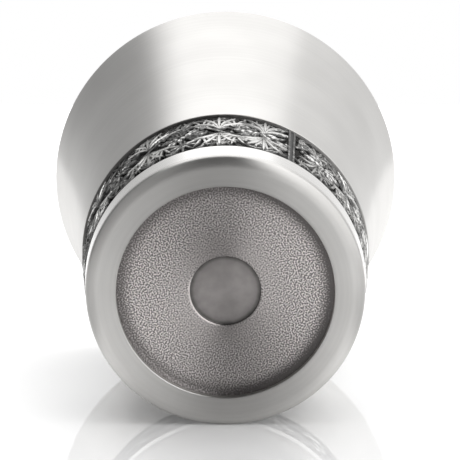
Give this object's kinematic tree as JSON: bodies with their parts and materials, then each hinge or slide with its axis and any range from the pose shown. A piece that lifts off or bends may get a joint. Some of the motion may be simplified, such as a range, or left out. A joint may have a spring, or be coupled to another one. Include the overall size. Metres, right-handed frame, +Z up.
{
  "type": "tumbler",
  "caption": "Flared satin pewter tumbler for drinking, with a dark cast relief band round its lower body, a broad rounded foot and a textured disc sunk in the underside.",
  "frame": {"origin": "centre of the foot's face, the plane that the tumbler stands on", "axes": "+Z up the tumbler's axis from the foot to the lip; -Y is the side that faces up in the picture, where the tumbler lies on its side, and +X is to the right there"},
  "size_m": [0.08, 0.08, 0.095],
  "materials": {
    "pewter": "satin turned pewter",
    "dark_pewter": "cast pewter darkened in its hollows, with the raised parts rubbed bright",
    "cast_pewter": "pebbled as cast",
    "solder": "dull solder"
  },
  "bodies": {
    "root": {"cup_wall": "pewter", "foot": "pewter", "relief_band": "dark_pewter", "base_disc": "cast_pewter", "wall_solder": "solder", "band_solder": "solder", "seam_solder": "solder", "disc_solder": "solder"}
  },
  "joints": []
}
